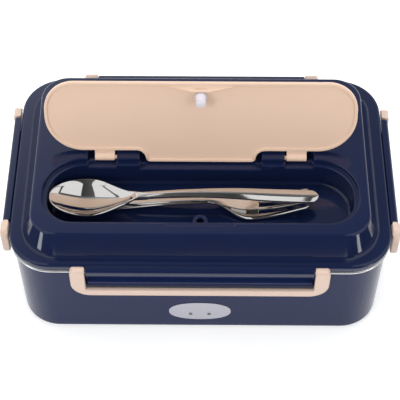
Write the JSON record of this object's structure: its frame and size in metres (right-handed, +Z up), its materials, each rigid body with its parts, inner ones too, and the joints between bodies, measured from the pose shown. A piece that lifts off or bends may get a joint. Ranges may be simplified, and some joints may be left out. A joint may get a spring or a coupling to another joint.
{
  "type": "electric lunch box",
  "caption": "Heated lunch box with a steel food tray, a latched lift-off lid, a hinged cutlery compartment in the lid, a spoon and a fork.",
  "frame": {"origin": "centre of the bounding box's bottom face, on the surface the box stands on", "axes": "+X to the right along the long side, +Y to the back where the cord goes in, +Z up"},
  "size_m": [0.268, 0.1748, 0.1468],
  "materials": {
    "navy_plastic": "gloss",
    "peach_plastic": "satin gloss",
    "black_plastic": "matte",
    "black_rubber": "matte",
    "liner_plastic": "matte",
    "seal_silicone": "matte, white silicone",
    "tray_steel": "satin inside, polished rim",
    "cutlery_steel": "mirror polished",
    "badge_steel": "brushed along its length",
    "plain_steel": "plain",
    "heat_aluminium": "satin",
    "heater_aluminium": "as cast",
    "insulation_board": "matte",
    "fuse_ceramic": "matte",
    "wire_sleeve": "matte",
    "pin_brass": "polished",
    "lens_plastic": "gloss",
    "board_green": "satin",
    "led_plastic": "gloss"
  },
  "bodies": {
    "base": {"outer_shell": "navy_plastic", "base_cover": "black_plastic", "feet": "black_rubber", "base_screws": "plain_steel", "inner_liner": "liner_plastic", "heat_plate": "heat_aluminium", "heating_block": "heater_aluminium", "insulation_pad": "insulation_board", "heater_clamp": "plain_steel", "clamp_screws": "plain_steel", "thermostat": "plain_steel", "thermal_fuse": "fuse_ceramic", "inner_wires": "wire_sleeve", "power_inlet": "black_plastic", "inlet_pins": "pin_brass", "indicator_plate": "badge_steel", "indicator_lenses": "lens_plastic", "indicator_board": "board_green", "indicator_leds": "led_plastic"},
    "tray": {"steel_tray": "tray_steel"},
    "lid": {"lid_shell": "navy_plastic", "lid_liner": "liner_plastic", "lid_seal": "seal_silicone", "latch_pins": "plain_steel"},
    "cover": {"compartment_cover": "peach_plastic", "vent_plug": "seal_silicone"},
    "front_latch": {"latch_front": "peach_plastic"},
    "back_latch": {"latch_back": "peach_plastic"},
    "left_latch": {"latch_left": "peach_plastic"},
    "right_latch": {"latch_right": "peach_plastic"},
    "spoon": {"spoon": "cutlery_steel"},
    "fork": {"fork": "cutlery_steel"}
  },
  "joints": [
    {"name": "lid_lift", "type": "slide", "parent": "base", "child": "lid", "axis": [0, 0, 1], "range_m": [0, 0.12]},
    {"name": "tray_lift", "type": "slide", "parent": "base", "child": "tray", "axis": [0, 0, 1], "range_m": [0, 0.06]},
    {"name": "cover_hinge", "type": "hinge", "parent": "lid", "child": "cover", "pos_m": [0, -0.0016, 0.0947], "axis": [1, 0, 0], "range_deg": [0, 112.5]},
    {"name": "front_latch_hinge", "type": "hinge", "parent": "lid", "child": "front_latch", "pos_m": [0, -0.0845, 0.0787], "axis": [-1, 0, 0], "range_deg": [0, 110]},
    {"name": "back_latch_hinge", "type": "hinge", "parent": "lid", "child": "back_latch", "pos_m": [0, 0.0845, 0.0787], "axis": [1, 0, 0], "range_deg": [0, 110]},
    {"name": "left_latch_hinge", "type": "hinge", "parent": "lid", "child": "left_latch", "pos_m": [-0.13115, 0, 0.0787], "axis": [0, 1, 0], "range_deg": [0, 110]},
    {"name": "right_latch_hinge", "type": "hinge", "parent": "lid", "child": "right_latch", "pos_m": [0.13115, 0, 0.0787], "axis": [0, -1, 0], "range_deg": [0, 110]},
    {"name": "spoon_lift", "type": "slide", "parent": "lid", "child": "spoon", "axis": [0, 0, 1], "range_m": [0, 0.09]},
    {"name": "fork_lift", "type": "slide", "parent": "lid", "child": "fork", "axis": [0, 0, 1], "range_m": [0, 0.045]}
  ],
  "couplings": [
    {"joint": "tray_lift", "follows": "lid_lift", "ratio": 0.5},
    {"joint": "fork_lift", "follows": "spoon_lift", "ratio": 0.5}
  ]
}
